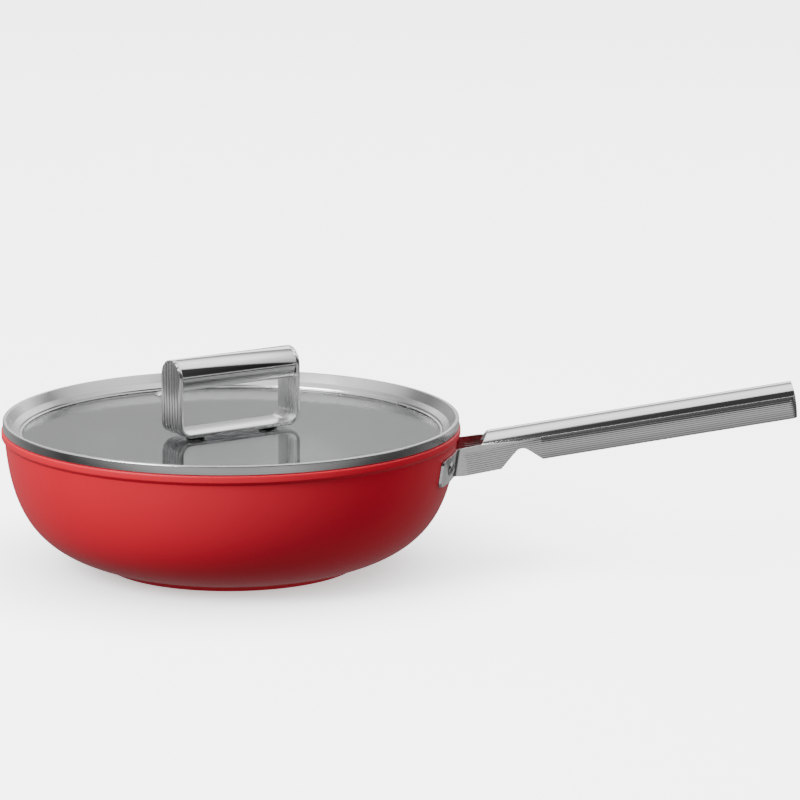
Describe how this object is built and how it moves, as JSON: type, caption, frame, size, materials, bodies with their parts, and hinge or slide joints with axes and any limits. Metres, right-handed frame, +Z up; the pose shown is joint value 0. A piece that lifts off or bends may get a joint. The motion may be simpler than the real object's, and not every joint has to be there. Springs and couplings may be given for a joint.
{
  "type": "lidded wok",
  "caption": "Forged aluminium wok with a long riveted steel handle and a flat glass lid in a steel ring that lifts off by its bridge handle.",
  "frame": {"origin": "centre of the foot, on the surface that the wok stands on", "axes": "+Z up out of the bowl, +X along the long handle away from the bowl, +Y across it"},
  "size_m": [0.533, 0.308, 0.1429],
  "materials": {
    "red_enamel": "satin red coating on forged aluminium",
    "nonstick": "dark grey non-stick with a fine speckle",
    "disc_steel": "turned magnetic steel",
    "ribbed_steel": "satin stainless steel with fine lengthwise ribs",
    "polished_steel": "mirror polished stainless steel",
    "satin_steel": "satin stainless steel",
    "core_aluminium": "plain extruded aluminium",
    "fastener_steel": "plain stainless steel",
    "rivet_steel": "polished stainless steel",
    "lid_glass": "clear tempered glass",
    "ring_steel": "spun stainless steel",
    "clear_silicone": "translucent grey silicone",
    "dark_silicone": "matte dark silicone"
  },
  "bodies": {
    "wok": {"wok_shell": "red_enamel", "nonstick_lining": "nonstick", "induction_disc": "disc_steel", "handle_strap": "ribbed_steel", "handle_top": "polished_steel", "handle_core": "core_aluminium", "handle_studs": "fastener_steel", "handle_nuts": "fastener_steel", "pad_rivets": "rivet_steel"},
    "lid": {"lid_glass": "lid_glass", "lid_ring": "ring_steel", "ring_seal": "clear_silicone", "vent_eyelet": "polished_steel", "vent_washer": "fastener_steel", "lid_loop": "satin_steel", "grip_top": "polished_steel", "grip_insert": "satin_steel", "lid_posts": "fastener_steel", "lid_grommets": "dark_silicone", "soft_washers": "dark_silicone", "steel_washers": "fastener_steel", "lid_screws": "fastener_steel"}
  },
  "joints": [
    {"name": "lid_lift", "type": "slide", "parent": "wok", "child": "lid", "axis": [0, 0, 1], "range_m": [0, 0.2]}
  ]
}
